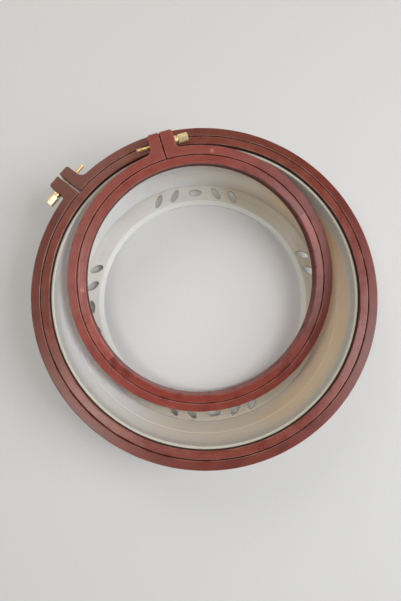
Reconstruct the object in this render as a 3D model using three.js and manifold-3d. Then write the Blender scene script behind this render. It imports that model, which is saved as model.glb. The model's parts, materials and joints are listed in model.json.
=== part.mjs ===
// Embroidery lap hoop. A large clamping hoop sits on a bowl-shaped stand, and a smaller hoop of the
// same make lies in the bowl, upside down, with its clamp lugs over the large hoop's rim.
// Millimetres, +Z up, origin on the stand's axis at the table.

import * as THREE from 'three';
import { mergeVertices } from 'three/addons/utils/BufferGeometryUtils.js';
import Module from 'manifold-3d';

const wasm = await Module();
wasm.setup();

// Hoops. Both have one section and one clamp, and differ in diameter and in how far they are closed.
const LARGE_SEAM_RADIUS = 130;
const SMALL_SEAM_RADIUS = 104.4;
const RING_HEIGHT = 11;
const INNER_RING_WIDTH = 6.8;
const OUTER_RING_WIDTH = 7.3;
const RING_CHAMFER = 0.7;
const SEAM_GAP = 0.4;
const LARGE_SPLIT = 2.0;
const SMALL_SPLIT = 0.8;
const LARGE_SPLIT_AZIMUTH = 142.3;
const SMALL_SPLIT_AZIMUTH = 108.3;

// Clamp lugs, one on each side of the split. The screw's head bears on one, its tail leaves the other.
const LARGE_LUG_REACH = 15.4;
const SMALL_LUG_REACH = 14.3;
const HEAD_LUG_THICKNESS = 10.5;
const TAIL_LUG_THICKNESS = 9.6;
const LUG_CORNER = 2.2;
const HEAD_SIDE_FILLET = 2.8;
const TAIL_SIDE_FILLET = 5.8;

// Thumb screw, turned from hexagonal bar, and the bush that it threads into.
const LARGE_SCREW_REACH = 8.0;
const SMALL_SCREW_REACH = 6.3;
const SHANK_DIAMETER = 3.0;
const SHANK_LENGTH = 32.0;
const SHANK_CHAMFER = 0.4;
const COLLAR_DIAMETER = 6.8;
const COLLAR_LENGTH = 2.2;
const NECK_DIAMETER = 5.0;
const NECK_LENGTH = 0.9;
const HEX_ACROSS_FLATS = 6.5;
const HEX_LENGTH = 8.2;
const HEX_CHAMFER_ANGLE = 30;
const BUSH_DIAMETER = 5.0;
const BUSH_LENGTH = 7.0;

// Stand: foot, dished flange with oval holes, conical wall, ledge and collar for the large inner ring.
const STAND_WALL = 2.2;
const FOOT_INNER_RADIUS = 92.5;
const FOOT_WIDTH = 5.0;
const FOOT_LIP = 1.6;
const RIM_BAND_WIDTH = 4.0;
const RIM_BAND_RADIUS = FOOT_INNER_RADIUS + RIM_BAND_WIDTH;
const RIM_BAND_HEIGHT = 3.6;
const FLANGE_WIDTH = 12.6;
const FLANGE_OUTER_RADIUS = RIM_BAND_RADIUS + FLANGE_WIDTH;
const FLANGE_OUTER_HEIGHT = 8.7;
const STEP_HEIGHT = 0.6;
const SEAT_HEIGHT = 48.5;
const WALL_TOP_DROP = 6.0;
const WALL_TOP_ROUNDING = 7.0;
const COLLAR_RISE = 8.3;
const COLLAR_CHAMFER = 0.7;
const LEDGE_MARGIN = 1.3;

// Oval holes: groups of five, one across the group and two leaning to it from each side.
const HOLE_GROUPS = 4;
const HOLE_GROUP_AZIMUTH = 4.7;
const HOLE_INSET = 6.4;
const HOLE_CIRCLE_RADIUS = RIM_BAND_RADIUS + HOLE_INSET;
const HOLE_LENGTH = 12.2;
const HOLE_WIDTH = 5.4;
const HOLE_INNER_STEP = 11.0;
const HOLE_OUTER_STEP = 20.0;
const HOLE_LEAN = 49;

// Where the small hoop lies: how far its ring stays from the large inner ring's bore at the clamp, and
// how far it has slipped to one side of its lean.
const SMALL_HOOP_RIM_GAP = 3.6;
const SMALL_HOOP_SHIFT = -1.8;

// Gap between pieces that touch on the real object.
const FIT = 0.3;

const RING_STEPS = 96;
const SCREW_STEPS = 24;
const BEND_STEPS = 4;
const CORNER_STEPS = 3;
const FILLET_STEPS = 5;
const OVAL_STEPS = 9;
const LEAN_HALVINGS = 40;

const PLASTIC_BROWN = new THREE.MeshStandardMaterial({ color: 0x7a3a30, roughness: 0.42, metalness: 0 });
const PLASTIC_RUST = new THREE.MeshStandardMaterial({ color: 0x94463f, roughness: 0.42, metalness: 0 });
const PLASTIC_CREAM = new THREE.MeshStandardMaterial({ color: 0xd9d2c0, roughness: 0.3, metalness: 0 });
const BRASS = new THREE.MeshStandardMaterial({ color: 0xc9a24e, roughness: 0.28, metalness: 1 });

const radians = THREE.MathUtils.degToRad;

// Sizes that follow from the ones above.
const ringTop = SEAT_HEIGHT + FIT + RING_HEIGHT;
const screwHeight = RING_HEIGHT / 2;

function hoopSizes(seam, split, lugReach, screwReach) {
  const innerOutside = seam - SEAM_GAP / 2;
  const outerBore = seam + SEAM_GAP / 2;
  const outerOutside = outerBore + OUTER_RING_WIDTH;
  return {
    innerOutside,
    innerBore: innerOutside - INNER_RING_WIDTH,
    outerBore,
    outerOutside,
    lugEnd: outerOutside + lugReach,
    screwX: outerOutside + screwReach,
    headFace: split / 2 + HEAD_LUG_THICKNESS,
    tailFace: -split / 2 - TAIL_LUG_THICKNESS,
    split,
  };
}

const large = hoopSizes(LARGE_SEAM_RADIUS, LARGE_SPLIT, LARGE_LUG_REACH, LARGE_SCREW_REACH);
const small = hoopSizes(SMALL_SEAM_RADIUS, SMALL_SPLIT, SMALL_LUG_REACH, SMALL_SCREW_REACH);

const collarOutside = large.innerBore - FIT;
const collarInside = collarOutside - STAND_WALL;
const collarTop = SEAT_HEIGHT + COLLAR_RISE;
const wallTop = SEAT_HEIGHT - WALL_TOP_DROP;
const wallFoot = FLANGE_OUTER_HEIGHT + STEP_HEIGHT;

// The bend where the stand's wall turns upright into the collar, as [r, z] corners.
function wallTopBend() {
  const corner = new THREE.Vector2(collarInside, wallTop);
  const downWall = new THREE.Vector2(FLANGE_OUTER_RADIUS, wallFoot).sub(corner).setLength(WALL_TOP_ROUNDING);
  const upCollar = new THREE.Vector2(0, WALL_TOP_ROUNDING);
  const bend = new THREE.QuadraticBezierCurve(downWall.add(corner), corner, upCollar.add(corner));
  return bend.getPoints(BEND_STEPS).map(({ x, y }) => [x, y]);
}

// The stand's inner face from the foot up, as [r, z] corners.
const standInside = [
  [FOOT_INNER_RADIUS, FOOT_LIP],
  [RIM_BAND_RADIUS, RIM_BAND_HEIGHT],
  [FLANGE_OUTER_RADIUS, FLANGE_OUTER_HEIGHT],
  [FLANGE_OUTER_RADIUS, wallFoot],
  ...wallTopBend(),
  [collarInside, collarTop - COLLAR_CHAMFER],
  [collarInside + COLLAR_CHAMFER, collarTop],
];

function toSolid(geometry) {
  const bare = geometry.clone();
  bare.deleteAttribute('normal');
  bare.deleteAttribute('uv');
  const merged = mergeVertices(bare, 1e-4);
  const vertProperties = new Float32Array(merged.attributes.position.array);
  const triVerts = new Uint32Array(merged.index.array);
  return new wasm.Manifold(new wasm.Mesh({ numProp: 3, vertProperties, triVerts }));
}

function toGeometry(solid) {
  const { vertProperties, triVerts } = solid.getMesh();
  const geometry = new THREE.BufferGeometry();
  geometry.setAttribute('position', new THREE.BufferAttribute(vertProperties, 3));
  geometry.setIndex(new THREE.BufferAttribute(triVerts, 1));
  geometry.computeVertexNormals();
  return geometry;
}

function part(name, geometry, material) {
  const mesh = new THREE.Mesh(geometry, material);
  mesh.name = name;
  return mesh;
}

// Points on an arc about (x, y), both ends included.
function arc(x, y, radius, from, to, steps) {
  return Array.from({ length: steps + 1 }, (_, i) => {
    const angle = from + (to - from) * i / steps;
    return new THREE.Vector2(x + radius * Math.cos(angle), y + radius * Math.sin(angle));
  });
}

// A closed profile of [r, z] corners, listed counter-clockwise, turned about Z.
function turned(corners, steps) {
  const profile = corners.map(([r, z]) => new THREE.Vector2(r, z));
  profile.push(profile[0].clone());
  return new THREE.LatheGeometry(profile, steps).rotateX(Math.PI / 2);
}

function chamferedSection(inside, outside, height, chamfer) {
  return [
    [inside + chamfer, 0],
    [outside - chamfer, 0],
    [outside, chamfer],
    [outside, height - chamfer],
    [outside - chamfer, height],
    [inside + chamfer, height],
    [inside, height - chamfer],
    [inside, chamfer],
  ];
}

function innerRing({ innerBore, innerOutside }) {
  return turned(chamferedSection(innerBore, innerOutside, RING_HEIGHT, RING_CHAMFER), RING_STEPS);
}

// One lug's outline from the split face to the ring's outside, for a lug on the +Y side.
function lugOutline({ outerOutside, lugEnd, split }, thickness, fillet) {
  const face = split / 2;
  const side = face + thickness;
  const filletX = Math.sqrt((outerOutside + fillet) ** 2 - (side + fillet) ** 2);
  const filletAzimuth = Math.atan2(side + fillet, filletX);
  return [
    new THREE.Vector2(lugEnd, face),
    ...arc(lugEnd - LUG_CORNER, side - LUG_CORNER, LUG_CORNER, 0, Math.PI / 2, CORNER_STEPS),
    ...arc(filletX, side + fillet, fillet, 1.5 * Math.PI, Math.PI + filletAzimuth, FILLET_STEPS),
  ];
}

// The outer ring in plan, split on +X, with the screw's head on the +Y side.
function outerRingShape(sizes) {
  const mirrored = ({ x, y }) => new THREE.Vector2(x, -y);
  const headLug = lugOutline(sizes, HEAD_LUG_THICKNESS, HEAD_SIDE_FILLET);
  const tailLug = lugOutline(sizes, TAIL_LUG_THICKNESS, TAIL_SIDE_FILLET).map(mirrored).reverse();
  const headEnd = headLug.at(-1).angle();
  const tailEnd = tailLug[0].angle();
  const boreEnd = Math.asin(sizes.split / 2 / sizes.outerBore);
  return new THREE.Shape([
    ...headLug,
    ...arc(0, 0, sizes.outerOutside, headEnd, tailEnd, RING_STEPS).slice(1, -1),
    ...tailLug,
    ...arc(0, 0, sizes.outerBore, 2 * Math.PI - boreEnd, boreEnd, RING_STEPS),
  ]);
}

// A rod along Y at the screw's place, to cut the lugs with.
function screwBore({ screwX }, radius, from, to) {
  const rod = new THREE.CylinderGeometry(radius, radius, to - from, SCREW_STEPS);
  return rod.translate(screwX, (from + to) / 2, screwHeight);
}

function outerRing(sizes) {
  const { headFace, tailFace } = sizes;
  const body = new THREE.ExtrudeGeometry(outerRingShape(sizes), {
    depth: RING_HEIGHT - 2 * RING_CHAMFER,
    bevelThickness: RING_CHAMFER,
    bevelSize: RING_CHAMFER,
    bevelOffset: -RING_CHAMFER,
    bevelSegments: 1,
  }).translate(0, 0, RING_CHAMFER);
  const shankBore = screwBore(sizes, SHANK_DIAMETER / 2 + FIT, tailFace - FIT, headFace + FIT);
  const bushBore = screwBore(sizes, BUSH_DIAMETER / 2 + FIT, tailFace - FIT, tailFace + BUSH_LENGTH + FIT);
  return toGeometry(toSolid(body).subtract(toSolid(shankBore)).subtract(toSolid(bushBore)));
}

// The thumb screw along Y, with the collar's bearing face at y = 0 and the head towards +Y.
function thumbScrew() {
  const shank = SHANK_DIAMETER / 2;
  const collar = COLLAR_DIAMETER / 2;
  const neck = NECK_DIAMETER / 2;
  const hexStart = COLLAR_LENGTH + NECK_LENGTH;
  const hexEnd = hexStart + HEX_LENGTH;
  const flat = HEX_ACROSS_FLATS / 2;
  const corner = HEX_ACROSS_FLATS / Math.sqrt(3);
  const cornerCut = (corner - flat) * Math.tan(radians(HEX_CHAMFER_ANGLE));
  const stem = turned([
    [0, -SHANK_LENGTH],
    [shank - SHANK_CHAMFER, -SHANK_LENGTH],
    [shank, SHANK_CHAMFER - SHANK_LENGTH],
    [shank, 0],
    [collar, 0],
    [collar, COLLAR_LENGTH],
    [neck, COLLAR_LENGTH],
    [neck, hexStart + NECK_LENGTH],
    [0, hexStart + NECK_LENGTH],
  ], SCREW_STEPS);
  const barrel = turned([
    [0, hexStart],
    [flat, hexStart],
    [corner, hexStart + cornerCut],
    [corner, hexEnd - cornerCut],
    [flat, hexEnd],
    [0, hexEnd],
  ], SCREW_STEPS);
  const hexagon = new THREE.Shape(arc(0, 0, corner, 0, 5 * Math.PI / 3, 5));
  const bar = new THREE.ExtrudeGeometry(hexagon, { depth: HEX_LENGTH, bevelEnabled: false });
  bar.translate(0, 0, hexStart);
  const head = toSolid(bar).intersect(toSolid(barrel));
  return toGeometry(toSolid(stem).add(head)).rotateX(-Math.PI / 2);
}

// The bush along Y, with its outer end at y = 0 and its length towards +Y.
function threadedBush() {
  const bore = SHANK_DIAMETER / 2 + FIT;
  const outside = BUSH_DIAMETER / 2;
  const section = [[bore, 0], [outside, 0], [outside, BUSH_LENGTH], [bore, BUSH_LENGTH]];
  return turned(section, SCREW_STEPS).rotateX(-Math.PI / 2);
}

// A hoop standing on z = 0 about its own axis, with its clamp on +X.
function hoop(name, sizes, plastic) {
  const screw = part(`${name}_thumb_screw`, thumbScrew(), BRASS);
  screw.position.set(sizes.screwX, sizes.headFace + FIT, screwHeight);
  const bush = part(`${name}_threaded_bush`, threadedBush(), BRASS);
  bush.position.set(sizes.screwX, sizes.tailFace, screwHeight);
  return new THREE.Group().add(
    part(`${name}_inner_ring`, innerRing(sizes), plastic),
    part(`${name}_outer_ring`, outerRing(sizes), plastic),
    screw,
    bush,
  );
}

// Height of the dished flange's upper face at a radius.
function flangeHeight(radius) {
  const share = (radius - RIM_BAND_RADIUS) / (FLANGE_OUTER_RADIUS - RIM_BAND_RADIUS);
  return THREE.MathUtils.lerp(RIM_BAND_HEIGHT, FLANGE_OUTER_HEIGHT, share);
}

// The stand's section. The outer face keeps the wall from the inner one.
function standSection() {
  const ledgeOutside = large.innerOutside - LEDGE_MARGIN;
  const flangeRise = FLANGE_OUTER_HEIGHT - RIM_BAND_HEIGHT;
  const flangeSlope = Math.atan2(flangeRise, FLANGE_OUTER_RADIUS - RIM_BAND_RADIUS);
  const wallLean = Math.atan2(collarInside - FLANGE_OUTER_RADIUS, wallTop - wallFoot);
  const under = STAND_WALL / Math.cos(flangeSlope);
  const outward = STAND_WALL / Math.cos(wallLean);
  const footOutside = FOOT_INNER_RADIUS + FOOT_WIDTH;
  const heel = FLANGE_OUTER_RADIUS + STAND_WALL;
  const ledgeUnder = SEAT_HEIGHT - STAND_WALL;
  const shoulder = collarInside + outward - (wallTop - ledgeUnder) * Math.tan(wallLean);
  return [
    [footOutside, 0],
    [footOutside, flangeHeight(footOutside) - under],
    [heel, flangeHeight(heel) - under],
    [heel + STEP_HEIGHT, wallFoot],
    [shoulder, ledgeUnder],
    [ledgeOutside, ledgeUnder],
    [ledgeOutside, SEAT_HEIGHT],
    [collarOutside, SEAT_HEIGHT],
    [collarOutside, collarTop - COLLAR_CHAMFER],
    [collarOutside - COLLAR_CHAMFER, collarTop],
    ...standInside.toReversed(),
    [FOOT_INNER_RADIUS, 0],
  ];
}

// One oval hole's cutter, upright as the mould draws it. Its outer end leans towards the group's middle.
function ovalCutter(azimuth, lean) {
  const oval = new THREE.Shape();
  oval.absellipse(0, 0, HOLE_LENGTH / 2, HOLE_WIDTH / 2, 0, 2 * Math.PI);
  const depth = SEAT_HEIGHT / 2;
  const cutter = new THREE.ExtrudeGeometry(oval, { depth, bevelEnabled: false, curveSegments: OVAL_STEPS });
  return cutter.rotateZ(lean).translate(HOLE_CIRCLE_RADIUS, 0, -FIT).rotateZ(azimuth);
}

function stand() {
  let body = toSolid(turned(standSection(), RING_STEPS));
  const holes = [
    [0, 90],
    [HOLE_INNER_STEP, -HOLE_LEAN],
    [HOLE_OUTER_STEP, -HOLE_LEAN],
    [-HOLE_INNER_STEP, HOLE_LEAN],
    [-HOLE_OUTER_STEP, HOLE_LEAN],
  ];
  for (let group = 0; group < HOLE_GROUPS; group += 1) {
    const middle = HOLE_GROUP_AZIMUTH + group * 360 / HOLE_GROUPS;
    for (const [step, lean] of holes) {
      body = body.subtract(toSolid(ovalCutter(radians(middle + step), radians(lean))));
    }
  }
  return part('stand', toGeometry(body), PLASTIC_CREAM);
}

function largeHoop() {
  const group = hoop('large', large, PLASTIC_BROWN);
  group.position.z = SEAT_HEIGHT + FIT;
  group.rotation.z = radians(LARGE_SPLIT_AZIMUTH);
  return group;
}

// Height of what lies under the small hoop at a radius: the table, the bowl or the large inner ring.
function bowlHeight(radius) {
  if (radius < FOOT_INNER_RADIUS) {
    return 0;
  }
  const upper = standInside.findIndex(([r]) => r > radius);
  if (upper < 0) {
    return ringTop;
  }
  const [innerRadius, innerHeight] = standInside[upper - 1];
  const [outerRadius, outerHeight] = standInside[upper];
  const share = (radius - innerRadius) / (outerRadius - innerRadius);
  return THREE.MathUtils.lerp(innerHeight, outerHeight, share);
}

// The middle of the small hoop's underside at a lean, as the clamp rests on the large inner ring's edge.
function smallHoopMiddle(lean) {
  const rimRest = new THREE.Vector2(large.innerBore + RING_CHAMFER, ringTop + FIT);
  const overlap = (RING_CHAMFER + SMALL_HOOP_RIM_GAP) / Math.cos(lean);
  const back = small.outerOutside + overlap;
  return rimRest.sub(new THREE.Vector2(Math.cos(lean), Math.sin(lean)).multiplyScalar(back));
}

function clearsBowl(lean) {
  const middle = smallHoopMiddle(lean);
  const edge = small.outerOutside - RING_CHAMFER;
  return arc(0, 0, edge, 0, 2 * Math.PI, RING_STEPS).every(({ x, y }) => {
    const radius = Math.hypot(middle.x + x * Math.cos(lean), y + SMALL_HOOP_SHIFT);
    return middle.y + x * Math.sin(lean) >= bowlHeight(radius + FIT) + FIT;
  });
}

// The steepest lean at which the small hoop's lower edge is still clear of the bowl.
function restingLean() {
  let clear = 0;
  let touching = Math.PI / 4;
  for (let halving = 0; halving < LEAN_HALVINGS; halving += 1) {
    const lean = (clear + touching) / 2;
    if (clearsBowl(lean)) {
      clear = lean;
    } else {
      touching = lean;
    }
  }
  return clear;
}

// The small hoop is turned over, then leans from the flange up to the large inner ring's inner edge.
function smallHoop() {
  const lean = restingLean();
  const middle = smallHoopMiddle(lean);
  const turnedOver = hoop('small', small, PLASTIC_RUST);
  turnedOver.rotation.x = Math.PI;
  turnedOver.position.z = RING_HEIGHT;
  const leaning = new THREE.Group().add(turnedOver);
  leaning.position.set(middle.x, SMALL_HOOP_SHIFT, middle.y);
  leaning.rotation.y = -lean;
  const placed = new THREE.Group().add(leaning);
  placed.rotation.z = radians(SMALL_SPLIT_AZIMUTH);
  return placed;
}

export default new THREE.Group().add(stand(), largeHoop(), smallHoop());
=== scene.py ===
import json
import math

import bmesh
import bpy
from mathutils import Matrix, Vector


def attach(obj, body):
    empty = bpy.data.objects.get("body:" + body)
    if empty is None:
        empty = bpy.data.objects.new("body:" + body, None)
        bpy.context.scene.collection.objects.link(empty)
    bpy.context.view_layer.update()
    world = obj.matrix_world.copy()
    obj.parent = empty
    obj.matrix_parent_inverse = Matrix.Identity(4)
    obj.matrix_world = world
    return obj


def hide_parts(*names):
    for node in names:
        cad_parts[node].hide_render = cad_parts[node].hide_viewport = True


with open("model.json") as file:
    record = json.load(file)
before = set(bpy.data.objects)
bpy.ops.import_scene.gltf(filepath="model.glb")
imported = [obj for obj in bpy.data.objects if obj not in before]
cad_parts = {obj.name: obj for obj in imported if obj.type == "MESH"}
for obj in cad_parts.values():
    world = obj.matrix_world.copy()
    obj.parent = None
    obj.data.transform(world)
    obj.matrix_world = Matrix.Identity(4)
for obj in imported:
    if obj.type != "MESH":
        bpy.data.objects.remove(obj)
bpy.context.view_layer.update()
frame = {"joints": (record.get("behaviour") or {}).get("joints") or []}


# The stand is one moulding in cream plastic, a bowl with no bottom on a narrow foot. Oval holes pierce
# its dished flange, a fine step runs round its conical wall, and the wall ends in a ledge and a collar
# that carry the large inner ring.
MM = 0.001
FOOT_INNER_RADIUS = 92.5 * MM
FOOT_OUTER_RADIUS = 97.5 * MM
FOOT_LIP = 1.6 * MM
RIM_BAND_RADIUS = 96.5 * MM
RIM_BAND_HEIGHT = 3.6 * MM
FLANGE_OUTER_RADIUS = 109.1 * MM
FLANGE_OUTER_HEIGHT = 8.7 * MM
WALL_FOOT_HEIGHT = 9.3 * MM
WALL_TOP_HEIGHT = 42.5 * MM
STAND_WALL = 2.2 * MM
SEAT_HEIGHT = 48.5 * MM
LEDGE_RADIUS = 128.5 * MM
COLLAR_OUTSIDE = 122.7 * MM
COLLAR_INSIDE = COLLAR_OUTSIDE - STAND_WALL
COLLAR_TOP = 56.8 * MM
STAND_SPOKES = 288
ROUNDING_STEPS = 4
HOLE_GROUP_AZIMUTHS = [4.7, 94.7, 184.7, 274.7]
HOLE_PLACES = [(0, 90), (11.0, -49), (20.0, -49), (-11.0, 49), (-20.0, 49)]
HOLE_CIRCLE_RADIUS = 102.9 * MM
HOLE_HALF_LENGTH = 6.1 * MM
HOLE_HALF_WIDTH = 2.7 * MM
HOLE_ROUNDING = 0.6 * MM
HOLE_SIDES = 40
SHARP_ANGLE = math.radians(35)
MERGE_DISTANCE = 0.001 * MM
STEP_HEIGHT = 28.5 * MM
STEP_DEPTH = 0.2 * MM
FOOT_ROUNDING = 0.6 * MM
FOOT_BORE_ROUNDING = 0.4 * MM
FOOT_LIP_ROUNDING = 0.7 * MM
UNDERSIDE_ROUNDING = 0.4 * MM
HEEL_ROUNDING = 1.2 * MM
OUTSIDE_ROUNDING = 0.8 * MM
LEDGE_ROUNDING = 0.5 * MM
COLLAR_OUTER_ROUNDING = 0.7 * MM
COLLAR_INNER_ROUNDING = 0.9 * MM
WALL_TOP_ROUNDING = 7 * MM
STEP_UPPER_ROUNDING = 0.07 * MM
STEP_LOWER_ROUNDING = 0.1 * MM
FLANGE_CORNER_ROUNDING = 0.25 * MM
RIM_BAND_ROUNDING = 0.9 * MM
# Besides the cream itself, these tones are painted light and shade: an amber warm glow, a grey and an
# olive shade, a cool lit tone, and a milky tone that is also a painted glow at the lip.
CREAM = (0.70, 0.68, 0.61, 1)
CREAM_MILKY = (0.75, 0.745, 0.70, 1)
CREAM_WARM_GLOW = (0.72, 0.58, 0.36, 1)
CREAM_SHADE_OLIVE = (0.43, 0.355, 0.225, 1)
CREAM_SHADE_GREY = (0.60, 0.605, 0.545, 1)
CREAM_COOL_LIT = (0.74, 0.768, 0.785, 1)
CREAM_SHARES = {"cool_lit_left": 0.9, "collar_shade": 0.8, "shaded_low_right": 0.8, "flange": 0.4, "collar": 0.3, "lip_glow": 0.9}
CREAM_SCATTER = (5 * MM, 3.2 * MM, 1.5 * MM)
STREAKS_PER_METRE = 260
STREAK_TURNS = 2.2
CREAM_DRIFT_SCALE = 14
CREAM_SPECK_SCALE = 900
COOL_LIT_SIDE = (-0.97, 0.26)
LOW_END = (6 * MM, 20 * MM)
FLANGE_END = (8.5 * MM, 11.5 * MM)
WALL_START = (10 * MM, 18 * MM)
WALL_END = (38 * MM, 47 * MM)
COLLAR_SHADE_START = (41 * MM, 49 * MM)
COLLAR_EDGE = (COLLAR_TOP - 1.2 * MM, COLLAR_TOP - 0.4 * MM)
LIP_GLOW_EDGE = (RIM_BAND_RADIUS - 0.4 * MM, RIM_BAND_RADIUS + 0.4 * MM)


def turned(outline, spokes):
    """Turns a closed outline of (radius, height, rounding) corners about Z."""
    bm = bmesh.new()
    corners = [bm.verts.new((radius, 0, height)) for radius, height, _ in outline]
    bm.faces.new(corners)
    for corner, (_, _, rounding) in zip(corners, outline):
        if rounding:
            bmesh.ops.bevel(
                bm, geom=[corner], offset=rounding, offset_type="OFFSET", affect="VERTICES",
                segments=ROUNDING_STEPS, profile=0.5, material=-1,
            )
    bmesh.ops.delete(bm, geom=bm.faces[:], context="FACES_ONLY")
    bmesh.ops.spin(
        bm, geom=bm.verts[:] + bm.edges[:], cent=(0, 0, 0), axis=(0, 0, 1),
        angle=2 * math.pi, steps=spokes, use_merge=True,
    )
    bmesh.ops.remove_doubles(bm, verts=bm.verts, dist=MERGE_DISTANCE)
    bmesh.ops.recalc_face_normals(bm, faces=bm.faces)
    return bm


def combined(blank, tool, operation):
    """Cuts or joins two closed shapes, and gives what they leave as a new one."""
    shapes = []
    for bm in (blank, tool):
        mesh = bpy.data.meshes.new("shape")
        bm.to_mesh(mesh)
        bm.free()
        shape = bpy.data.objects.new("shape", mesh)
        bpy.context.scene.collection.objects.link(shape)
        shapes.append(shape)
    boolean = shapes[0].modifiers.new("boolean", "BOOLEAN")
    boolean.operation = operation
    boolean.solver = "EXACT"
    boolean.object = shapes[1]
    left = bmesh.new()
    left.from_object(shapes[0], bpy.context.evaluated_depsgraph_get())
    bmesh.ops.remove_doubles(left, verts=left.verts, dist=MERGE_DISTANCE)
    for shape in shapes:
        bpy.data.meshes.remove(shape.data)
    return left


def piece(name, bm, material, node, body):
    """Shows a finished mesh in the place of a CAD node."""
    mesh = bpy.data.meshes.new(name)
    bm.to_mesh(mesh)
    bm.free()
    mesh.shade_smooth()
    mesh.set_sharp_from_angle(angle=SHARP_ANGLE)
    mesh.materials.append(material)
    shown = bpy.data.objects.new(name, mesh)
    bpy.context.scene.collection.objects.link(shown)
    normals = shown.modifiers.new("even_flats", "WEIGHTED_NORMAL")
    normals.keep_sharp = True
    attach(shown, body)
    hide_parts(node)


def flange_height(radius):
    share = (radius - RIM_BAND_RADIUS) / (FLANGE_OUTER_RADIUS - RIM_BAND_RADIUS)
    return RIM_BAND_HEIGHT + share * (FLANGE_OUTER_HEIGHT - RIM_BAND_HEIGHT)


def oval_cutter(bm, azimuth, lean):
    """An upright oval plug whose top flares, so that the hole that it cuts has a rounded upper rim."""
    plug = bmesh.ops.create_circle(bm, cap_ends=True, radius=1, segments=HOLE_SIDES)["verts"]
    flare = [(HOLE_ROUNDING * (1 - math.cos(a)), HOLE_ROUNDING * (math.sin(a) - 1))
             for a in (0, math.pi / 6, math.pi / 3)]
    flare.append((HOLE_ROUNDING, HOLE_ROUNDING / 3))
    levels = [(0, -FLANGE_OUTER_HEIGHT), *flare, (HOLE_ROUNDING, WALL_TOP_HEIGHT)]
    place = Matrix.Rotation(azimuth, 4, "Z") @ Matrix.Translation((HOLE_CIRCLE_RADIUS, 0, 0))
    place = place @ Matrix.Rotation(lean, 4, "Z")
    face = plug[0].link_faces[0]
    for level, (outward, above) in enumerate(levels):
        if level:
            lower = face
            made = bmesh.ops.extrude_face_region(bm, geom=[lower])["geom"]
            face = next(part for part in made if isinstance(part, bmesh.types.BMFace))
            if level > 1:
                bmesh.ops.delete(bm, geom=[lower], context="FACES_ONLY")
        for count, vert in enumerate(face.verts):
            turn = 2 * math.pi * count / HOLE_SIDES
            vert.co = place @ Vector((
                (HOLE_HALF_LENGTH + outward) * math.cos(turn),
                (HOLE_HALF_WIDTH + outward) * math.sin(turn),
                0,
            ))
            vert.co.z = flange_height(vert.co.xy.length) + above


class Shade:
    """An output in a material's node tree. Arithmetic on it adds Math nodes."""

    def __init__(self, tree, socket=None):
        self.tree = tree
        self.socket = socket

    def node(self, kind, settings=None, sockets=None, output=0):
        """Adds a node with its settings, then its sockets' values or links."""
        made = self.tree.nodes.new(kind)
        for name, value in (settings or {}).items():
            setattr(made, name, value)
        for name, value in (sockets or {}).items():
            if isinstance(value, Shade):
                self.tree.links.new(value.socket, made.inputs[name])
            else:
                made.inputs[name].default_value = value
        return Shade(self.tree, made.outputs[output])

    def math(self, operation, *values):
        return self.node("ShaderNodeMath", {"operation": operation}, dict(enumerate(values)))

    def __add__(self, other):
        return self.math("ADD", self, other)

    def __sub__(self, other):
        return self.math("SUBTRACT", self, other)

    def __rsub__(self, other):
        return self.math("SUBTRACT", other, self)

    def __mul__(self, other):
        return self.math("MULTIPLY", self, other)

    def __truediv__(self, other):
        return self.math("DIVIDE", self, other)

    def __pow__(self, other):
        return self.math("POWER", self, other)

    __radd__ = __add__
    __rmul__ = __mul__

    def eased(self, low, high, start=0.0, end=1.0):
        """Runs smoothly from start to end as this goes from low to high, and stays there."""
        sockets = {"Value": self, "From Min": low, "From Max": high, "To Min": start, "To Max": end}
        return self.node("ShaderNodeMapRange", {"interpolation_type": "SMOOTHSTEP"}, sockets)

    def tint(self, low, high):
        """A colour between two, by this as the share of the second."""
        return self.node("ShaderNodeMix", {"data_type": "RGBA"}, {0: self, 6: low, 7: high}, 2)


def new_material(name):
    material = bpy.data.materials.new(name)
    material.use_nodes = True
    return material, Shade(material.node_tree)


def finish(material, sockets):
    """Sets the surface's constants and links on the material's own shader."""
    shader = material.node_tree.nodes["Principled BSDF"]
    for name, value in sockets.items():
        if isinstance(value, Shade):
            material.node_tree.links.new(value.socket, shader.inputs[name])
        else:
            shader.inputs[name].default_value = value


def around(shade, place=None):
    """Radius, height and the two parts of the direction about a piece's own axis, from its place."""
    spot = shade.node("ShaderNodeTexCoord", output="Object")
    if place:
        turn_back = place.inverted()
        spot = shade.node("ShaderNodeMapping", sockets={
            "Vector": spot, "Location": turn_back.to_translation(), "Rotation": turn_back.to_euler(),
        })
    x, y, height = [
        shade.node("ShaderNodeSeparateXYZ", sockets={0: spot}, output=axis) for axis in "XYZ"
    ]
    radius = (x * x + y * y) ** 0.5
    return spot, radius, height, x / radius, y / radius


def cloud(shade, place, scale, detail=3, roughness=0.5):
    """Soft noise from 0 to 1 over a place in space."""
    sockets = {"Vector": place, "Scale": scale, "Detail": detail, "Roughness": roughness}
    return shade.node("ShaderNodeTexNoise", sockets=sockets)


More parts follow.
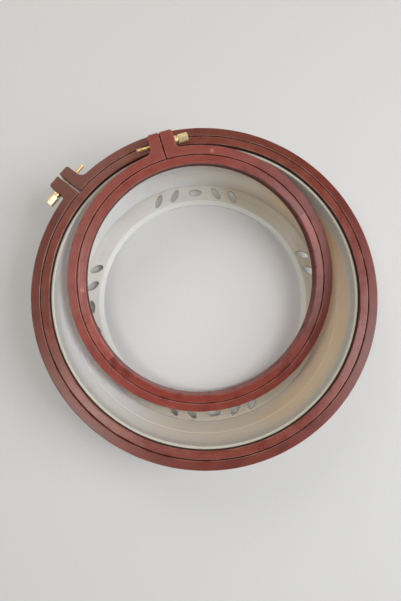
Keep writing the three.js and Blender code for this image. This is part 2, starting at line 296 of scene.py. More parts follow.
def cream_plastic():
    """Milky cream plastic, streaked round the bowl. Light and shade are painted into its colour: a warm
    glow on the wall, strongest on the right, a cool lit tone on the left, grey shade on the collar
    where the large inner ring stands behind it, olive shade on the flange and low on the right, and a
    pale glow on the lip of the rim band."""
    material, shade = new_material("cream_plastic")
    spot, radius, height, across, along = around(shade)
    ring_flow = shade.node("ShaderNodeCombineXYZ", sockets={
        0: across * STREAK_TURNS, 1: along * STREAK_TURNS, 2: (radius + height) * STREAKS_PER_METRE,
    })
    streaks = cloud(shade, ring_flow, 1.0, detail=4, roughness=0.6)
    drift = cloud(shade, spot, CREAM_DRIFT_SCALE)
    speck = cloud(shade, spot, CREAM_SPECK_SCALE, detail=2)
    wall = height.eased(*WALL_START) * height.eased(*WALL_END, 1.0, 0.0)
    # Painted light: the wall's amber glow stands in for light passing through the plastic and is
    # strongest on the right. The streaks and drift add real tone.
    warm_glow_right = across.eased(0.2, 0.95)
    streaks_and_warm_glow = (wall * (warm_glow_right * 0.75 + 0.1) + streaks * 0.35 + drift * 0.35).eased(0.35, 1.0)
    # Painted light: the left side is tinted cool and neutral where the key light falls on it.
    cool_lit_left = (along * COOL_LIT_SIDE[1] + across * COOL_LIT_SIDE[0]).eased(-0.1, 0.5) * CREAM_SHARES["cool_lit_left"]
    # Painted shade: the collar is greyer where the large inner ring stands behind it and no light
    # passes through. It also weakens the milky tone there.
    collar_shade = height.eased(*COLLAR_SHADE_START)
    # Painted shade: the low part of the bowl on the right is darkened toward olive, as in shadow.
    shaded_low_right = height.eased(*LOW_END, 1.0, 0.0) * (across + along * 0.4).eased(0.1, 0.8)
    # Painted shade: the flange is darkened toward the same olive.
    flange = height.eased(*FLANGE_END, 1.0, 0.0)
    # The collar's rim is also darkened a little toward this olive.
    collar = height.eased(*COLLAR_EDGE)
    olive_shade = flange * CREAM_SHARES["flange"] + collar * CREAM_SHARES["collar"]
    olive_shade = shade.math("MAXIMUM", shaded_low_right * CREAM_SHARES["shaded_low_right"], olive_shade)
    # The milky tone drifts at random over the bowl. At the lip of the rim band it is a painted glow.
    milky_and_lip_glow = (drift + streaks * 0.5).eased(0.65, 0.95) * collar_shade.eased(0.0, 1.0, 0.4, 0.1)
    milky_and_lip_glow = shade.math("MAXIMUM", milky_and_lip_glow, radius.eased(*LIP_GLOW_EDGE, 1.0, 0.0) * CREAM_SHARES["lip_glow"])
    colour = streaks_and_warm_glow.tint(cool_lit_left.tint(CREAM, CREAM_COOL_LIT), CREAM_WARM_GLOW)
    colour = (collar_shade * CREAM_SHARES["collar_shade"]).tint(colour, CREAM_SHADE_GREY)
    colour = olive_shade.tint(colour, CREAM_SHADE_OLIVE)
    colour = milky_and_lip_glow.tint(colour, CREAM_MILKY)
    relief = shade.node("ShaderNodeBump", sockets={
        "Strength": 0.3, "Distance": 0.2 * MM, "Height": streaks * 0.7 + speck * 0.12,
    })
    finish(material, {
        "Base Color": colour,
        "Roughness": streaks * 0.14 + speck * 0.05 + 0.24,
        "Normal": relief,
        "Subsurface Weight": 0.6,
        "Subsurface Radius": CREAM_SCATTER,
        "Subsurface Scale": 1.0,
        "IOR": 1.49,
    })
    return material


wall_lean = math.atan2(COLLAR_INSIDE - FLANGE_OUTER_RADIUS, WALL_TOP_HEIGHT - WALL_FOOT_HEIGHT)
flange_lean = math.atan2(FLANGE_OUTER_HEIGHT - RIM_BAND_HEIGHT, FLANGE_OUTER_RADIUS - RIM_BAND_RADIUS)
under = STAND_WALL / math.cos(flange_lean)
heel = FLANGE_OUTER_RADIUS + STAND_WALL
ledge_under = SEAT_HEIGHT - STAND_WALL
shoulder = COLLAR_INSIDE + STAND_WALL / math.cos(wall_lean)
shoulder += (ledge_under - WALL_TOP_HEIGHT) * math.tan(wall_lean)
step_radius = FLANGE_OUTER_RADIUS + (STEP_HEIGHT - WALL_FOOT_HEIGHT) * math.tan(wall_lean)
stand = turned([
    (FOOT_OUTER_RADIUS, 0, FOOT_ROUNDING),
    (FOOT_OUTER_RADIUS, flange_height(FOOT_OUTER_RADIUS) - under, UNDERSIDE_ROUNDING),
    (heel, flange_height(heel) - under, HEEL_ROUNDING),
    (heel + WALL_FOOT_HEIGHT - FLANGE_OUTER_HEIGHT, WALL_FOOT_HEIGHT, OUTSIDE_ROUNDING),
    (shoulder, ledge_under, OUTSIDE_ROUNDING),
    (LEDGE_RADIUS, ledge_under, LEDGE_ROUNDING),
    (LEDGE_RADIUS, SEAT_HEIGHT, LEDGE_ROUNDING),
    (COLLAR_OUTSIDE, SEAT_HEIGHT, 0),
    (COLLAR_OUTSIDE, COLLAR_TOP, COLLAR_OUTER_ROUNDING),
    (COLLAR_INSIDE, COLLAR_TOP, COLLAR_INNER_ROUNDING),
    (COLLAR_INSIDE, WALL_TOP_HEIGHT, WALL_TOP_ROUNDING),
    (step_radius + STEP_DEPTH, STEP_HEIGHT, STEP_UPPER_ROUNDING),
    (step_radius, STEP_HEIGHT - STEP_DEPTH / 4, STEP_LOWER_ROUNDING),
    (FLANGE_OUTER_RADIUS, WALL_FOOT_HEIGHT, FLANGE_CORNER_ROUNDING),
    (FLANGE_OUTER_RADIUS, FLANGE_OUTER_HEIGHT, FLANGE_CORNER_ROUNDING),
    (RIM_BAND_RADIUS, RIM_BAND_HEIGHT, RIM_BAND_ROUNDING),
    (FOOT_INNER_RADIUS, FOOT_LIP, FOOT_LIP_ROUNDING),
    (FOOT_INNER_RADIUS, 0, FOOT_BORE_ROUNDING),
], STAND_SPOKES)
ovals = bmesh.new()
for group in HOLE_GROUP_AZIMUTHS:
    for step, lean in HOLE_PLACES:
        oval_cutter(ovals, math.radians(group + step), math.radians(lean))
bmesh.ops.recalc_face_normals(ovals, faces=ovals.faces)
bowl = combined(stand, ovals, "DIFFERENCE")
piece("bowl_stand", bowl, cream_plastic(), "stand", "stand")


# Each hoop's inner ring is a plain closed ring of mottled brown plastic with softly rounded edges. The
# large one sits on the stand's collar, and the small one lies in the bowl, upside down and leaning.
RING_HEIGHT = 11 * MM
RING_ROUNDING = 0.9 * MM
RING_SPOKES = 288
INNER_RING_WIDTH = 6.8 * MM
SEAM_GAP = 0.4 * MM
SCREW_SEAT_GAP = 0.3 * MM
SEAM_RADIUS = {"large": 130 * MM, "small": 104.4 * MM}
OUTER_RING_WIDTH = 7.3 * MM
SCREW_REACH = {"large": 8 * MM, "small": 6.3 * MM}
SPLIT = {"large": 2 * MM, "small": 0.8 * MM}
HEAD_LUG_THICKNESS = 10.5 * MM
# Each hoop's tones. The pale edge tone is a painted highlight, and the darkest tone is painted shade in
# the seam and the bore.
PLASTIC_TONES = {
    "large": {
        "seam_and_bore_shade": (0.034, 0.007, 0.005, 1),
        "dark": (0.095, 0.017, 0.010, 1),
        "middle": (0.165, 0.024, 0.013, 1),
        "light": (0.245, 0.058, 0.036, 1),
        "umber": (0.148, 0.044, 0.024, 1),
        "worn": (0.40, 0.22, 0.18, 1),
    },
    "small": {
        "seam_and_bore_shade": (0.055, 0.008, 0.008, 1),
        "dark": (0.148, 0.021, 0.013, 1),
        "middle": (0.240, 0.038, 0.024, 1),
        "light": (0.335, 0.076, 0.055, 1),
        "umber": (0.245, 0.054, 0.036, 1),
        "worn": (0.46, 0.20, 0.17, 1),
    },
}
TONE_BASE = {"large_inner": 0.14, "large_outer": 0.03, "small_inner": 0.07, "small_outer": 0.05}
RING_ROUGHNESS = {"large_inner": 0.17, "large_outer": 0.21, "small_inner": 0.17, "small_outer": 0.30}
FIGURE_PER_METRE = 170
FIGURE_TURNS = 9
PATCH_SCALE = 55
BROWN_SCALE = 18
RING_SPECK_SCALE = 1400
BORE_SHADE_DEPTHS = {"large": (0.2 * MM, 0.5 * MM), "small": (0.8 * MM, 3.2 * MM)}
BORE_BLUR = (0.1 * MM, 0.8 * MM)
SEAM_BLUR = (0.3 * MM, 1.0 * MM)
LUG_BLUR = (0.5 * MM, 3.5 * MM)
LARGE_CLAMP_DARKENS = 0.1
SMALL_HEAD_SIDE_SHADE = 0.12
FLOW_LINES = {"small": [72.9, -111.3]}
FLOW_LIGHT_TURN = math.radians(50)
FLOW_LIGHTENS = 0.13
FLOW_DARK_TURN = math.radians(30)
FLOW_DARKENS = 0.09
INNER_SPRUE = {"small": (100.5 * MM, -75.8)}
SPRUE_RADIUS = 1.8 * MM
SPRUE_DEPTH = 0.15 * MM
SPRUE_SIDES = 32
SPRUE_LIGHTENS = 0.15
joints = {joint["name"]: joint for joint in frame["joints"]}


def ring_outside(hoop):
    return SEAM_RADIUS[hoop] + SEAM_GAP / 2 + OUTER_RING_WIDTH


def hoop_place(hoop, up):
    """A hoop's own frame: its clamp on +X, its screw's head towards +Y, and its first face at z = 0."""
    turn = joints[f"{hoop}_thumb_screw_turn"]
    head = Vector(turn["axis"]).normalized()
    out = head.cross(up)
    screw_out = ring_outside(hoop) + SCREW_REACH[hoop]
    screw_along = SPLIT[hoop] / 2 + HEAD_LUG_THICKNESS + SCREW_SEAT_GAP
    middle = Vector(turn["pos_m"]) - out * screw_out - head * screw_along - up * RING_HEIGHT / 2
    axes = Matrix((out, head, up)).transposed().to_4x4()
    return Matrix.Translation(middle) @ axes


def placed(bm, hoop):
    bmesh.ops.transform(bm, matrix=hoop_places[hoop], verts=bm.verts)
    return bm


def sprue_spot(sprue):
    radius, azimuth = sprue
    return Matrix.Rotation(math.radians(azimuth), 4, "Z") @ Vector((radius, 0, 0))


def sprue_mark(bm, sprue):
    """A shallow round step where the moulding was trimmed from its feed, in the hoop's first face."""
    dimple = bmesh.new()
    bmesh.ops.create_cone(
        dimple, cap_ends=True, segments=SPRUE_SIDES, radius1=SPRUE_RADIUS, radius2=SPRUE_RADIUS,
        depth=2 * SPRUE_DEPTH, matrix=Matrix.Translation(sprue_spot(sprue)),
    )
    return combined(bm, dimple, "DIFFERENCE")


def hoop_plastic(ring_name, hoop, sprue=None, flow_lines=()):
    """Satin brown plastic, mottled like wood along the ring. Its rounded edges are painted pale as
    highlights, the faces in the seam and the bore are painted dark as shade, and the small ring is
    painted darker on its head side as shade."""
    tones = PLASTIC_TONES[hoop]
    material, shade = new_material(f"{ring_name}_plastic")
    spot, radius, height, across, along = around(shade, hoop_places[hoop])
    ring_flow = shade.node("ShaderNodeCombineXYZ", sockets={
        0: across * FIGURE_TURNS, 1: along * FIGURE_TURNS, 2: (radius + height) * FIGURE_PER_METRE,
    })
    figure = cloud(shade, ring_flow, 1.0, detail=5, roughness=0.62)
    patches = cloud(shade, spot, PATCH_SCALE, detail=2)
    speck = cloud(shade, spot, RING_SPECK_SCALE, detail=2)
    tone = figure * 0.45 + patches * 0.28 + speck * 0.15 + TONE_BASE[ring_name]
    for line in flow_lines:
        azimuth = shade.math("ARCTAN2", along, across)
        past = shade.math("WRAP", azimuth - math.radians(line), math.pi, -math.pi)
        lighter = past.eased(0.0, FLOW_LIGHT_TURN, FLOW_LIGHTENS, 0.0)
        darker = past.eased(-FLOW_DARK_TURN, 0.0, 0.0, FLOW_DARKENS)
        tone = tone + lighter * shade.math("GREATER_THAN", past, 0.0)
        tone = tone - darker * shade.math("LESS_THAN", past, 0.0)
    if ring_name == "large_outer":
        by_head = across.eased(0.55, 0.9) * along.eased(-0.05, 0.15)
        on_lug = (radius - ring_outside(hoop)).eased(*LUG_BLUR)
        tone = tone - shade.math("MAXIMUM", by_head, on_lug) * LARGE_CLAMP_DARKENS
    # Painted shade: the small hoop is darker on its head side, which lies in the shadow of the large
    # hoop.
    if hoop == "small":
        tone = tone - along.eased(0.1, 0.9) * SMALL_HEAD_SIDE_SHADE
    if sprue:
        mark = sprue_spot(sprue)
        off = ((across * radius - mark.x) ** 2 + (along * radius - mark.y) ** 2) ** 0.5
        tone = tone + off.eased(0.6 * SPRUE_RADIUS, 1.15 * SPRUE_RADIUS, SPRUE_LIGHTENS, 0.0)
    below_face = RING_HEIGHT / 2 - shade.math("ABSOLUTE", height - RING_HEIGHT / 2)
    # Painted highlight: a band on the rounded edges, where light is caught.
    edge = below_face.eased(0.0, 0.1 * RING_ROUNDING)
    edge = edge * below_face.eased(0.25 * RING_ROUNDING, 0.5 * RING_ROUNDING, 1.0, 0.0)
    side = below_face.eased(0.25 * RING_ROUNDING, 0.55 * RING_ROUNDING)
    # Painted shade: faces in the seam and the bore are darkened where shade falls. On the small hoop
    # only the bore's far side, which faces down, is darkened.
    bore = SEAM_RADIUS[hoop] - SEAM_GAP / 2 - INNER_RING_WIDTH
    in_bore = (radius - bore).eased(*BORE_BLUR, 1.0, 0.0)
    if hoop == "small":
        in_bore = in_bore * across.eased(-0.7, 0.1)
    in_seam = shade.math("ABSOLUTE", radius - SEAM_RADIUS[hoop]).eased(*SEAM_BLUR, 1.0, 0.0)
    deep = below_face.eased(*BORE_SHADE_DEPTHS[hoop])
    seam_and_bore_shade = shade.math("MAXIMUM", deep * in_bore, side * in_seam)
    brown = (cloud(shade, spot, BROWN_SCALE, detail=2) + across * 0.16).eased(0.42, 0.68)
    colour = tone.eased(0.34, 0.5).tint(tones["dark"], tones["middle"])
    colour = tone.eased(0.5, 0.7).tint(colour, tones["light"])
    colour = (brown * 0.6).tint(colour, tones["umber"])
    # The worn tone here is a painted highlight on the rounded edges.
    colour = (edge * figure.eased(0.35, 0.65, 0.1, 0.6)).tint(colour, tones["worn"])
    colour = (seam_and_bore_shade * 0.85).tint(colour, tones["seam_and_bore_shade"])
    relief = shade.node("ShaderNodeBump", sockets={
        "Strength": 0.3, "Distance": 0.12 * MM, "Height": speck * 0.5 + figure * 0.5,
    })
    dulled = figure * 0.16 + speck * 0.08 - edge * 0.08 + seam_and_bore_shade * 0.4
    finish(material, {
        "Base Color": colour,
        "Roughness": dulled + RING_ROUGHNESS[ring_name],
        "Normal": relief,
        "IOR": 1.46,
    })
    return material


hoop_places = {
    "large": hoop_place("large", Vector((0, 0, 1))),
    "small": hoop_place("small", -Vector(joints["small_outer_ring_draw"]["axis"]).normalized()),
}
for hoop, body in (("large", "stand"), ("small", "small_inner_ring")):
    outside = SEAM_RADIUS[hoop] - SEAM_GAP / 2
    bore = outside - INNER_RING_WIDTH
    ring = turned([
        (bore, 0, RING_ROUNDING),
        (outside, 0, RING_ROUNDING),
        (outside, RING_HEIGHT, RING_ROUNDING),
        (bore, RING_HEIGHT, RING_ROUNDING),
    ], RING_SPOKES)
    sprue = INNER_SPRUE.get(hoop)
    if sprue:
        ring = sprue_mark(ring, sprue)
    ring = placed(ring, hoop)
    plastic = hoop_plastic(f"{hoop}_inner", hoop, sprue, FLOW_LINES.get(hoop, ()))
    piece(f"{hoop}_inner_hoop", ring, plastic, f"{hoop}_inner_ring", body)


# Each hoop's outer ring is moulded from the same plastic as its inner ring. It is split, with a lug on
# each side of the split that flows into the ring, and the screw passes through both lugs.
LUG_REACH = {"large": 15.4 * MM, "small": 14.3 * MM}
TAIL_LUG_THICKNESS = 9.6 * MM
LUG_CORNER = 2.2 * MM
LUG_CORNER_STEPS = 8
HEAD_SIDE_FILLET = 2.8 * MM
TAIL_SIDE_FILLET = 5.8 * MM
LUG_FILLET_STEPS = 10
RING_CORNER_ANGLE = math.radians(60)
SHANK_BORE = 1.8 * MM
BUSH_BORE = 2.8 * MM
BUSH_LENGTH = 7 * MM
BORE_SIDES = 48
OUTER_SPRUE = {"small": (107.9 * MM, 20.4)}


def drawn_arc(bm, start, centre, turn, steps):
    """Draws an arc in the XY plane from a start point, and gives its first and last vertices."""
    first = bm.verts.new((*start, 0))
    arc = bmesh.ops.spin(
        bm, geom=[first], cent=(*centre, 0), axis=(0, 0, 1), angle=turn, steps=steps,
    )
    last = next(part for part in arc["geom_last"] if isinstance(part, bmesh.types.BMVert))
    return first, last


def drawn_lug(bm, hoop, thickness, fillet, side):
    """Draws one lug from the split face to the ring, on the +Y side for 1 or on the -Y side for -1."""
    root = ring_outside(hoop)
    end = root + LUG_REACH[hoop]
    face = SPLIT[hoop] / 2
    flank = face + thickness
    fillet_x = math.sqrt((root + fillet) ** 2 - (flank + fillet) ** 2)
    fillet_turn = math.atan2(flank + fillet, fillet_x) - math.pi / 2
    tip = bm.verts.new((end, side * face, 0))
    corner_centre = (end - LUG_CORNER, side * (flank - LUG_CORNER))
    corner_start = (end, corner_centre[1])
    corner = drawn_arc(bm, corner_start, corner_centre, side * math.pi / 2, LUG_CORNER_STEPS)
    hollow_centre = (fillet_x, side * (flank + fillet))
    hollow_start = (fillet_x, side * flank)
    hollow = drawn_arc(bm, hollow_start, hollow_centre, side * fillet_turn, LUG_FILLET_STEPS)
    bm.edges.new((tip, corner[0]))
    bm.edges.new((corner[1], hollow[0]))
    return tip, hollow[1]


def outer_ring(hoop):
    bm = bmesh.new()
    bore = SEAM_RADIUS[hoop] + SEAM_GAP / 2
    head_tip, head_root = drawn_lug(bm, hoop, HEAD_LUG_THICKNESS, HEAD_SIDE_FILLET, 1)
    tail_tip, tail_root = drawn_lug(bm, hoop, TAIL_LUG_THICKNESS, TAIL_SIDE_FILLET, -1)
    head_turn = math.atan2(head_root.co.y, head_root.co.x)
    tail_turn = 2 * math.pi + math.atan2(tail_root.co.y, tail_root.co.x)
    outside = drawn_arc(bm, head_root.co.xy, (0, 0), tail_turn - head_turn, RING_SPOKES)
    split_turn = math.asin(SPLIT[hoop] / 2 / bore)
    bore_start = (bore * math.cos(split_turn), bore * math.sin(split_turn))
    inside = drawn_arc(bm, bore_start, (0, 0), 2 * (math.pi - split_turn), RING_SPOKES)
    bm.edges.new((head_tip, inside[0]))
    bm.edges.new((tail_tip, inside[1]))
    bmesh.ops.remove_doubles(bm, verts=[head_root, tail_root, *outside], dist=MERGE_DISTANCE)
    bmesh.ops.contextual_create(bm, geom=bm.edges[:])
    made = bmesh.ops.extrude_face_region(bm, geom=bm.faces[:])["geom"]
    raised = [part for part in made if isinstance(part, bmesh.types.BMVert)]
    bmesh.ops.translate(bm, vec=(0, 0, RING_HEIGHT), verts=raised)
    bmesh.ops.recalc_face_normals(bm, faces=bm.faces)
    corners = [edge for edge in bm.edges if edge.calc_face_angle() > RING_CORNER_ANGLE]
    bmesh.ops.bevel(
        bm, geom=corners, offset=RING_ROUNDING, offset_type="OFFSET", affect="EDGES",
        segments=ROUNDING_STEPS, profile=0.5, material=-1, loop_slide=True,
    )
    return bm


def screw_line(hoop):
    """The screw's line in the hoop's own frame: Z of this place runs along the screw to its head."""
    screw_out = ring_outside(hoop) + SCREW_REACH[hoop]
    return Matrix.Translation((screw_out, 0, RING_HEIGHT / 2)) @ Matrix.Rotation(-math.pi / 2, 4, "X")


def bored(bm, hoop, radius, start, end):
    rod = bmesh.new()
    middle = screw_line(hoop) @ Matrix.Translation((0, 0, (start + end) / 2))
    bmesh.ops.create_cone(
        rod, cap_ends=True, segments=BORE_SIDES, radius1=radius, radius2=radius,
        depth=end - start, matrix=middle,
    )
    return combined(bm, rod, "DIFFERENCE")


head_face = {hoop: split / 2 + HEAD_LUG_THICKNESS for hoop, split in SPLIT.items()}
tail_face = {hoop: -split / 2 - TAIL_LUG_THICKNESS for hoop, split in SPLIT.items()}
for hoop in ("large", "small"):
    ring = outer_ring(hoop)
    ring = bored(ring, hoop, SHANK_BORE, tail_face[hoop] - MM, head_face[hoop] + MM)
    bush_seat = tail_face[hoop] + BUSH_LENGTH + SCREW_SEAT_GAP
    ring = bored(ring, hoop, BUSH_BORE, tail_face[hoop] - MM, bush_seat)
    sprue = OUTER_SPRUE.get(hoop)
    if sprue:
        ring = sprue_mark(ring, sprue)
    ring = placed(ring, hoop)
    plastic = hoop_plastic(f"{hoop}_outer", hoop, sprue)
    node = f"{hoop}_outer_ring"
    piece(f"{hoop}_outer_hoop", ring, plastic, node, node)


# A short brass bush is pressed into the lug on the tail side, and the screw threads into it. Only its
# chamfered end shows, flush with the lug.
BUSH_RADIUS = 2.5 * MM
BUSH_CHAMFER = 0.25 * MM
LATHE_MARKS_PER_METRE = 9000
LATHE_MARK_TURNS = 0.4
TARNISH_SCALE = 420
BRASS_TONES = [(0.72, 0.50, 0.22, 1), (0.93, 0.74, 0.42, 1), (0.98, 0.87, 0.62, 1)]


def turned_brass(name, hoop):
    """Bright brass with fine tool marks round the screw's line, and a little tarnish in patches."""
    dark, middle, light = BRASS_TONES
    material, shade = new_material(name)
    spot, _, height, across, along = around(shade, hoop_places[hoop] @ screw_line(hoop))
    marks = shade.node("ShaderNodeCombineXYZ", sockets={
        0: across * LATHE_MARK_TURNS, 1: along * LATHE_MARK_TURNS, 2: height * LATHE_MARKS_PER_METRE,
    })
    lathe = cloud(shade, marks, 1.0)
    tarnish = cloud(shade, spot, TARNISH_SCALE, detail=4, roughness=0.65)
    worn = tarnish.eased(0.3, 0.5).tint(dark, middle)
    colour = (lathe * 0.5 + tarnish * 0.5).eased(0.5, 0.72).tint(worn, light)
    relief = shade.node("ShaderNodeBump", sockets={
        "Strength": 0.15, "Distance": 0.01 * MM, "Height": lathe,
    })
    finish(material, {
        "Base Color": colour,
        "Metallic": 1.0,
        "Roughness": tarnish * 0.16 + lathe * 0.08 + 0.24,
        "Normal": relief,
    })
    return material


hoop_brass = {hoop: turned_brass(f"{hoop}_brass", hoop) for hoop in ("large", "small")}
for hoop in ("large", "small"):
    bush = turned([
        (SHANK_BORE, 0, BUSH_CHAMFER),
        (BUSH_RADIUS, 0, BUSH_CHAMFER),
        (BUSH_RADIUS, BUSH_LENGTH, BUSH_CHAMFER),
        (SHANK_BORE, BUSH_LENGTH, BUSH_CHAMFER),
    ], BORE_SIDES)
    seat = screw_line(hoop) @ Matrix.Translation((0, 0, tail_face[hoop]))
    bmesh.ops.transform(bush, matrix=seat, verts=bush.verts)
    node, body = f"{hoop}_threaded_bush", f"{hoop}_outer_ring"
    piece(f"{hoop}_brass_bush", placed(bush, hoop), hoop_brass[hoop], node, body)


# The thumb screw is turned from hexagonal brass bar: a chamfered barrel to grip, a neck, a round collar
# that bears on the lug, and a long threaded shank whose tail stands out of the other lug.
SHANK_RADIUS = 1.5 * MM
SHANK_LENGTH = 32 * MM
SHANK_CHAMFER = 0.4 * MM
SHANK_TIP_ROUNDING = 0.05 * MM
THREAD_PITCH = 0.5 * MM
THREAD_DEPTH = 0.28 * MM
THREAD_CREST = 0.08 * MM
THREAD_HALF_FOOT = 0.46 * THREAD_PITCH
THREAD_FOOT_RADIUS = SHANK_RADIUS - 1.25 * THREAD_DEPTH
THREAD_STEPS = 20
THREAD_LENGTH = 24 * MM
SCREW_COLLAR_RADIUS = 3.4 * MM
SCREW_COLLAR_LENGTH = 2.2 * MM
NECK_RADIUS = 2.5 * MM
NECK_LENGTH = 0.9 * MM
HEX_FLAT = 3.25 * MM
HEX_LENGTH = 8.2 * MM
HEX_CHAMFER_ANGLE = math.radians(30)
HEX_EDGE_STEPS = 2
SCREW_ROUNDING = 0.15 * MM
SCREW_SPOKES = 48


def hex_barrel(start):
    """A hexagonal bar whose corners are cut back by a cone at both ends."""
    corner = HEX_FLAT / math.cos(math.pi / 6)
    bar = bmesh.new()
    bmesh.ops.create_cone(
        bar, cap_ends=True, segments=6, radius1=corner, radius2=corner, depth=HEX_LENGTH,
        matrix=Matrix.Translation((0, 0, start + HEX_LENGTH / 2)),
    )
    uprights = [edge for edge in bar.edges if abs(edge.verts[0].co.z - edge.verts[1].co.z) > MM]
    bmesh.ops.bevel(
        bar, geom=uprights, offset=SCREW_ROUNDING, offset_type="OFFSET", affect="EDGES",
        segments=HEX_EDGE_STEPS, profile=0.5, material=-1,
    )
    cut = (corner - HEX_FLAT) * math.tan(HEX_CHAMFER_ANGLE)
    end = start + HEX_LENGTH
    cone = turned([
        (0, start, 0),
        (HEX_FLAT, start, SCREW_ROUNDING),
        (corner, start + cut, 0),
        (corner, end - cut, 0),
        (HEX_FLAT, end, SCREW_ROUNDING),
        (0, end, 0),
    ], SCREW_SPOKES)
    return combined(bar, cone, "INTERSECT")


def thread_ridge():
    """One long helical ridge, sunk a little into the core that it stands on."""
    ridge = bmesh.new()
    section = [
        (THREAD_FOOT_RADIUS, -THREAD_HALF_FOOT),
        (SHANK_RADIUS, -THREAD_CREST / 2),
        (SHANK_RADIUS, THREAD_CREST / 2),
        (THREAD_FOOT_RADIUS, THREAD_HALF_FOOT),
    ]
    ridge.faces.new([ridge.verts.new((radius, 0, height)) for radius, height in section])
    turns = round(THREAD_LENGTH / THREAD_PITCH)
    bmesh.ops.spin(
        ridge, geom=ridge.faces[:] + ridge.edges[:] + ridge.verts[:],
        cent=(0, 0, 0), axis=(0, 0, 1), dvec=(0, 0, THREAD_PITCH / THREAD_STEPS),
        angle=2 * math.pi * turns, steps=turns * THREAD_STEPS,
    )
    start = -SHANK_LENGTH + SHANK_CHAMFER + THREAD_HALF_FOOT
    bmesh.ops.translate(ridge, vec=(0, 0, start), verts=ridge.verts)
    bmesh.ops.recalc_face_normals(ridge, faces=ridge.faces)
    return ridge


def thumb_screw():
    core = SHANK_RADIUS - THREAD_DEPTH
    hex_start = SCREW_COLLAR_LENGTH + NECK_LENGTH
    stem = turned([
        (0, -SHANK_LENGTH, 0),
        (core - SHANK_CHAMFER, -SHANK_LENGTH, SHANK_TIP_ROUNDING),
        (core, SHANK_CHAMFER - SHANK_LENGTH, SHANK_TIP_ROUNDING),
        (core, 0, 0),
        (SCREW_COLLAR_RADIUS, 0, SCREW_ROUNDING),
        (SCREW_COLLAR_RADIUS, SCREW_COLLAR_LENGTH, 2 * SCREW_ROUNDING),
        (NECK_RADIUS, SCREW_COLLAR_LENGTH, 0),
        (NECK_RADIUS, hex_start + NECK_LENGTH, 0),
        (0, hex_start + NECK_LENGTH, 0),
    ], SCREW_SPOKES)
    headed = combined(stem, hex_barrel(hex_start), "UNION")
    return combined(headed, thread_ridge(), "UNION")


for hoop in ("large", "small"):
    screw = thumb_screw()
    seat = screw_line(hoop) @ Matrix.Translation((0, 0, head_face[hoop] + SCREW_SEAT_GAP))
    bmesh.ops.transform(screw, matrix=seat, verts=screw.verts)
    node = f"{hoop}_thumb_screw"
    piece(f"{hoop}_brass_screw", placed(screw, hoop), hoop_brass[hoop], node, node)


# The floor is a plain pale round sheet that runs past the picture on all sides. It is a backdrop, not
# a piece of the object.
FLOOR_RADIUS = 1.6
FLOOR_SIDES = 96
FLOOR_GRAIN_SCALE = 700
FLOOR_ROUGHNESS = 0.75
FLOOR_PALE = (0.68, 0.675, 0.665, 1)
FLOOR_GREY = (0.63, 0.625, 0.62, 1)
floor_sheet = bmesh.new()
bmesh.ops.create_circle(floor_sheet, cap_ends=True, radius=FLOOR_RADIUS, segments=FLOOR_SIDES)
floor_mesh = bpy.data.meshes.new("floor")
floor_sheet.to_mesh(floor_mesh)
floor_sheet.free()
floor_material, floor_shade = new_material("pale_floor")
floor_spot = floor_shade.node("ShaderNodeTexCoord", output="Object")
floor_grain = cloud(floor_shade, floor_spot, FLOOR_GRAIN_SCALE, detail=2)
finish(floor_material, {
    "Base Color": floor_grain.tint(FLOOR_GREY, FLOOR_PALE),
    "Roughness": FLOOR_ROUGHNESS,
})
floor_mesh.materials.append(floor_material)
floor = bpy.data.objects.new("floor", floor_mesh)
bpy.context.scene.collection.objects.link(floor)


# Soft studio light: a broad cool key from the right, a weak warm fill from the far left, a small panel
# high on each side for the sheen, and a dim sky. A pale backdrop low down shows to the camera and in
# gloss, and sheds no light of its own.
LAMPS = {
    "key": {
        "from": (1.0, -0.12, 0.92), "size": 0.9, "power": 12.2, "colour": (0.95, 0.975, 1.0),
    },
    "fill": {
        "from": (-0.45, 0.75, 0.85), "size": 0.6, "power": 2.9, "colour": (1.0, 0.93, 0.82),
    },
    "left_panel": {
        "from": (-0.36, -0.25, 1.09), "size": 0.26, "power": 2.6, "colour": (1.0, 0.985, 0.92),
    },
    "right_panel": {
        "from": (0.54, -0.03, 1.09), "size": 0.2, "power": 1.05, "colour": (1.0, 0.95, 1.0),
    },
}
SKY_LOW = (0.12, 0.12, 0.12, 1)
SKY_HIGH = (0.33, 0.33, 0.335, 1)
BACKDROP = (0.70, 0.70, 0.695, 1)
SKY_RISE = (0.0, 0.7)
BACKDROP_FADE = (0.1, 0.5)
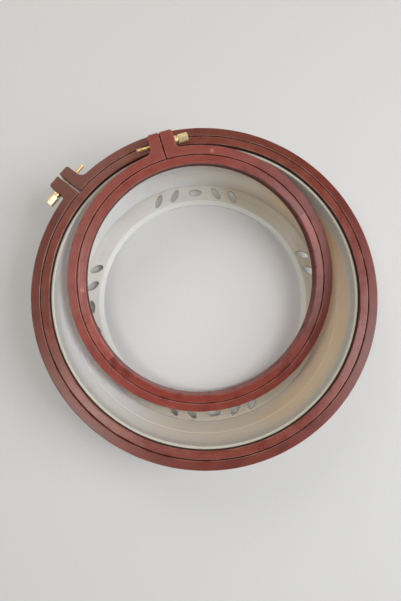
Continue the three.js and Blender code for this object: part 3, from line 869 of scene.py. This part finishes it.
for name, lamp in LAMPS.items():
    light = bpy.data.lights.new(name, "AREA")
    light.size = lamp["size"]
    light.energy = lamp["power"]
    light.color = lamp["colour"]
    light_object = bpy.data.objects.new(name, light)
    light_object.location = lamp["from"]
    light_object.rotation_euler = Vector(lamp["from"]).to_track_quat("Z", "Y").to_euler()
    bpy.context.scene.collection.objects.link(light_object)
world = bpy.data.worlds.new("studio")
world.use_nodes = True
sky_shade = Shade(world.node_tree)
sky_heading = sky_shade.node("ShaderNodeTexCoord", output="Generated")
sky_rise = sky_shade.node("ShaderNodeSeparateXYZ", sockets={0: sky_heading}, output="Z")
sky = sky_rise.eased(*SKY_RISE).tint(SKY_LOW, SKY_HIGH)
seen = sum(sky_shade.node("ShaderNodeLightPath", output=f"Is {ray} Ray")
           for ray in ("Camera", "Glossy", "Transmission"))
sky = (seen * sky_rise.eased(*BACKDROP_FADE, 1.0, 0.0)).tint(sky, BACKDROP)
world.node_tree.links.new(sky.socket, world.node_tree.nodes["Background"].inputs["Color"])
bpy.context.scene.world = world
bpy.context.scene.view_settings.view_transform = "Standard"


# The camera stands close above the bowl's near side and looks down into it, as in the photograph. Its
# place, tilt and focal length come from a fit to the ellipses of the rings and of the bowl.
IMAGE_HEIGHT = 601
FOCAL_PIXELS = 400
SENSOR = 36.0
CAMERA_PLACE = Vector((-16.02, -53.09, 371.82)) * MM
CAMERA_TIP_FAR = math.radians(8.0)
CAMERA_TIP_RIGHT = math.radians(2.01)
NEAREST_SEEN = 10 * MM
ahead = Vector((math.tan(CAMERA_TIP_RIGHT), math.tan(CAMERA_TIP_FAR), -1)).normalized()
right = ahead.cross(Vector((0, 1, 0))).normalized()
camera_data = bpy.data.cameras.new("camera")
camera_data.sensor_width = SENSOR
camera_data.lens = SENSOR * FOCAL_PIXELS / IMAGE_HEIGHT
camera_data.clip_start = NEAREST_SEEN
camera = bpy.data.objects.new("camera", camera_data)
camera_axes = Matrix((right, right.cross(ahead), -ahead)).transposed()
camera.matrix_world = Matrix.Translation(CAMERA_PLACE) @ camera_axes.to_4x4()
bpy.context.scene.collection.objects.link(camera)
bpy.context.scene.camera = camera
